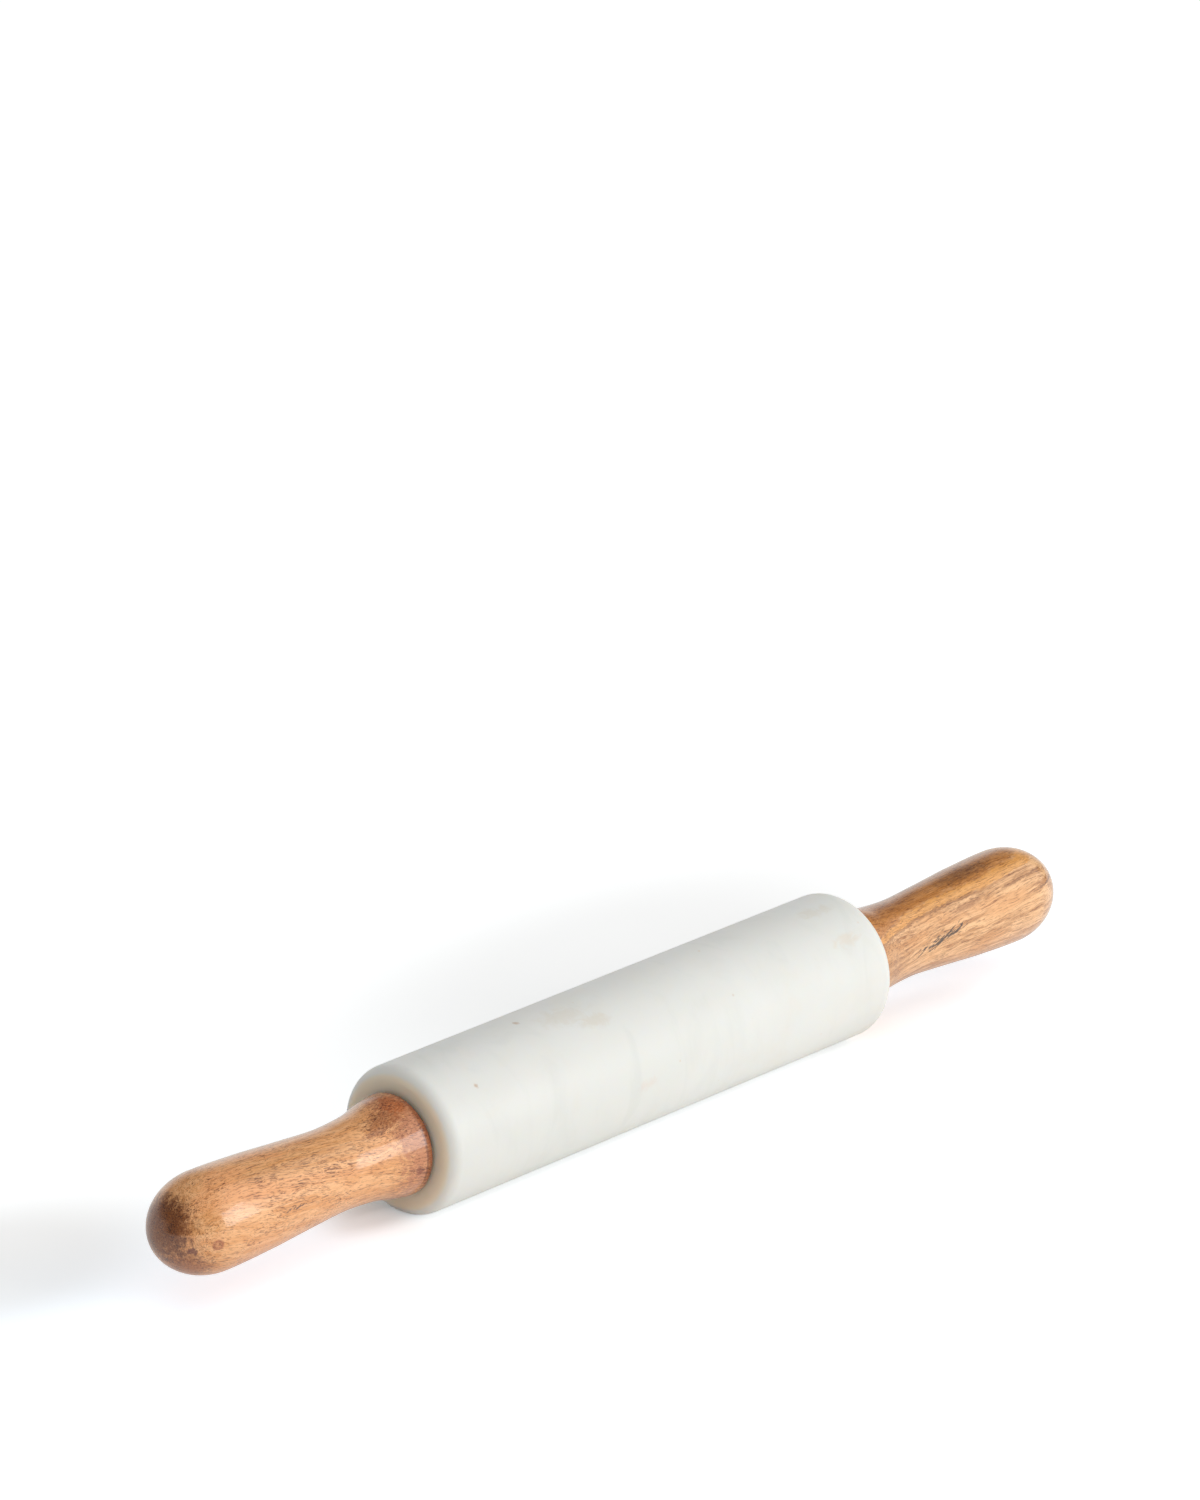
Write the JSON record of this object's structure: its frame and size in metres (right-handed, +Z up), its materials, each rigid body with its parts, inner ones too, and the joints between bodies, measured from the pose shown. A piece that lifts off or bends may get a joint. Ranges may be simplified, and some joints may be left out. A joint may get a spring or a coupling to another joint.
{
  "type": "marble rolling pin",
  "caption": "Rolling pin: a smooth marble barrel with rounded ends that turns freely on a steel axle rod between turned hardwood handles.",
  "frame": {"origin": "on the surface that the barrel rests on, under the middle of the pin's axis", "axes": "+X along the pin's axis towards the right handle, +Y level and away from the person who holds the pin, +Z up from the rest surface"},
  "size_m": [0.486, 0.057, 0.057],
  "materials": {
    "marble": "honed to a soft sheen, sealed",
    "hardwood": "turned, sanded and oiled to a semi-gloss",
    "steel": "bright zinc-plated",
    "brass": "machined",
    "nylon": "moulded, matt"
  },
  "bodies": {
    "handles": {"axle_rod": "steel", "left_thrust_washer": "steel", "right_thrust_washer": "steel", "left_insert": "brass", "right_insert": "brass", "left_handle": "hardwood", "right_handle": "hardwood"},
    "barrel": {"marble_barrel": "marble", "left_bushing": "nylon", "right_bushing": "nylon"}
  },
  "joints": [
    {"name": "barrel_spin", "type": "hinge", "parent": "handles", "child": "barrel", "pos_m": [0, 0, 0.0285], "axis": [1, 0, 0], "continuous": true}
  ]
}
